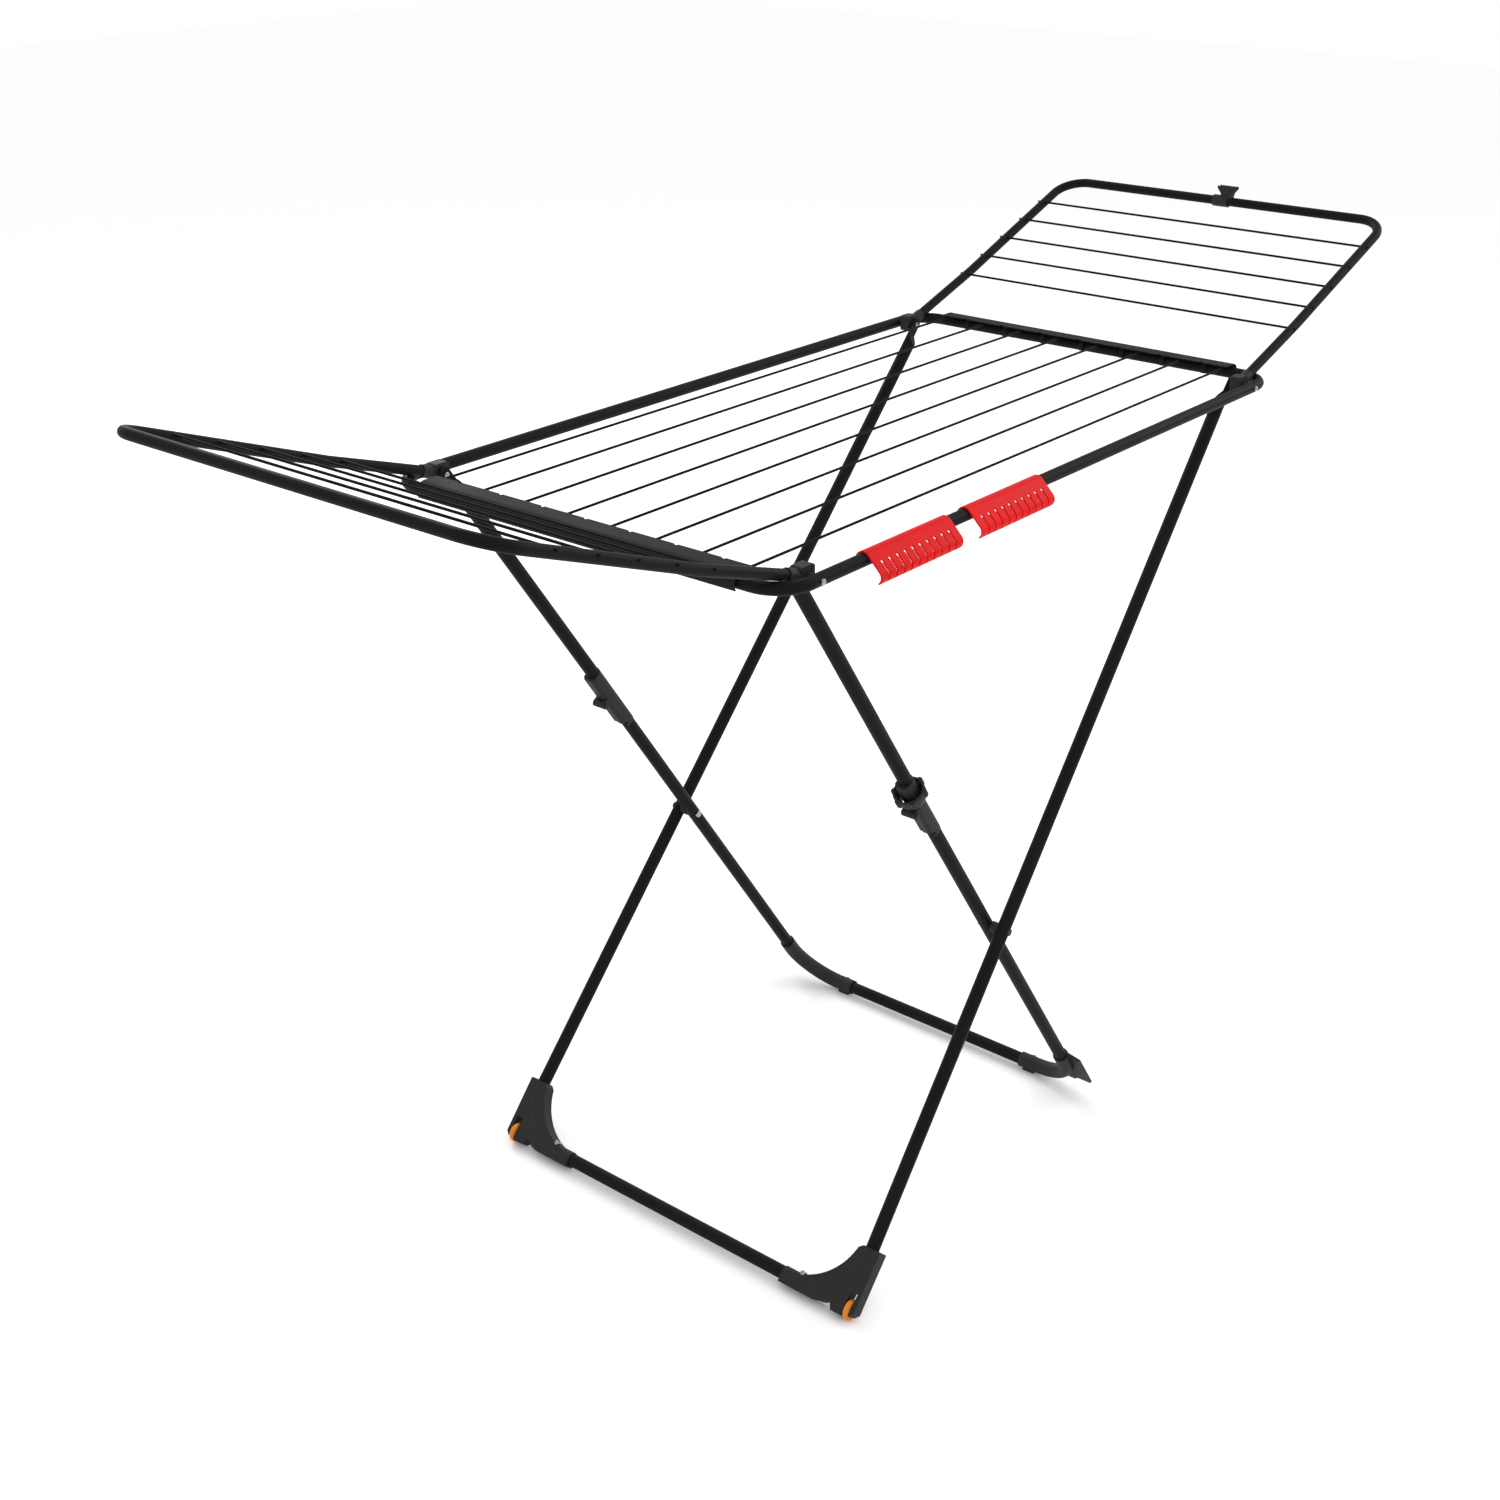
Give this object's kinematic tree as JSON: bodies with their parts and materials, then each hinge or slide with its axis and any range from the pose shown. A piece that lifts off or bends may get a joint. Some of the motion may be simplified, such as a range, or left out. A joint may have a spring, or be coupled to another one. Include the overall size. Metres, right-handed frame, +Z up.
{
  "type": "clothes drying rack",
  "caption": "Free-standing folding clothes airer with hinged wings, wire rails, scissor legs with a knee, wheels and red sock clips",
  "frame": {"origin": "on the floor, below the middle of the rack's box", "axes": "X along the rack from the left wing to the right wing, Y across it towards the far side, Z up"},
  "size_m": [1.7734, 0.5996, 1.1472],
  "materials": {
    "black_tube": "satin",
    "black_wire": "satin",
    "steel": "polished",
    "cover_plastic": "matte",
    "moulded_plastic": "matte",
    "red_plastic": "gloss",
    "orange_plastic": "satin"
  },
  "bodies": {
    "frame": {"main_frame": "black_tube", "main_wires": "black_wire", "end_cover_left": "cover_plastic", "end_cover_right": "cover_plastic", "pivot_pins": "steel", "pivot_spacers": "moulded_plastic"},
    "wing_left": {"wing_left_frame": "black_tube", "wing_left_wires": "black_wire", "wing_left_knuckles": "moulded_plastic"},
    "wing_right": {"wing_right_frame": "black_tube", "wing_right_wires": "black_wire", "wing_right_knuckles": "moulded_plastic"},
    "catch": {"wing_catch": "moulded_plastic"},
    "leg_a": {"leg_a_frame": "black_tube", "foot_a_far": "moulded_plastic", "foot_a_near": "moulded_plastic", "wheel_axles": "steel", "foot_a_screws": "steel", "crossing_spacers": "moulded_plastic"},
    "wheel_far": {"wheel_far": "orange_plastic"},
    "wheel_near": {"wheel_near": "orange_plastic"},
    "leg_b_upper": {"leg_b_upper_far": "black_tube", "leg_b_upper_near": "black_tube", "knee_upper_far": "moulded_plastic", "knee_upper_near": "moulded_plastic", "knee_pins": "moulded_plastic"},
    "knee_collar": {"knee_collar": "moulded_plastic"},
    "leg_b_lower": {"leg_b_frame": "black_tube", "knee_lower_far": "moulded_plastic", "knee_lower_near": "moulded_plastic", "crossing_rivets": "steel", "foot_b_far": "moulded_plastic", "foot_b_near": "moulded_plastic", "foot_b_screws": "steel"},
    "clip_outer": {"sock_clip_outer": "red_plastic"},
    "clip_inner": {"sock_clip_inner": "red_plastic"}
  },
  "joints": [
    {"name": "wing_left_fold", "type": "hinge", "parent": "frame", "child": "wing_left", "pos_m": [-0.46153, 0.00481, 0.97775], "axis": [0, 1, 0], "range_deg": [0, 155]},
    {"name": "wing_right_fold", "type": "hinge", "parent": "frame", "child": "wing_right", "pos_m": [0.45948, 0.00481, 0.97775], "axis": [0, 1, 0], "range_deg": [-155, 0]},
    {"name": "catch_swivel", "type": "hinge", "parent": "wing_right", "child": "catch", "pos_m": [0.87828, 0.00481, 1.12515], "axis": [0, 1, 0], "range_deg": [-100, 100]},
    {"name": "leg_fold", "type": "hinge", "parent": "frame", "child": "leg_a", "pos_m": [0.45948, 0.00481, 0.97775], "axis": [0, 1, 0], "range_deg": [0, 43]},
    {"name": "leg_b_fold", "type": "hinge", "parent": "frame", "child": "leg_b_upper", "pos_m": [-0.46153, 0.00481, 0.97775], "axis": [0, 1, 0], "range_deg": [-54.72, 0]},
    {"name": "knee_fold", "type": "hinge", "parent": "leg_b_upper", "child": "leg_b_lower", "pos_m": [-0.22812, 0.00481, 0.61621], "axis": [0, 1, 0], "range_deg": [0, 170.22]},
    {"name": "wheel_far_spin", "type": "hinge", "parent": "leg_a", "child": "wheel_far", "pos_m": [-0.37504, 0.28931, 0.013], "axis": [0, 1, 0], "continuous": true},
    {"name": "wheel_near_spin", "type": "hinge", "parent": "leg_a", "child": "wheel_near", "pos_m": [-0.37504, -0.27969, 0.013], "axis": [0, 1, 0], "continuous": true},
    {"name": "collar_slide", "type": "slide", "parent": "leg_b_upper", "child": "knee_collar", "axis": [-0.5751, 0, 0.818], "range_m": [0, 0.06]},
    {"name": "clip_outer_slide", "type": "slide", "parent": "frame", "child": "clip_outer", "axis": [1, 0, 0], "range_m": [-0.04, 0.015]},
    {"name": "clip_inner_slide", "type": "slide", "parent": "frame", "child": "clip_inner", "axis": [1, 0, 0], "range_m": [-0.015, 0.2]}
  ],
  "couplings": [
    {"joint": "leg_b_fold", "follows": "leg_fold", "ratio": -1.2726},
    {"joint": "knee_fold", "follows": "leg_fold", "ratio": 3.9586}
  ]
}
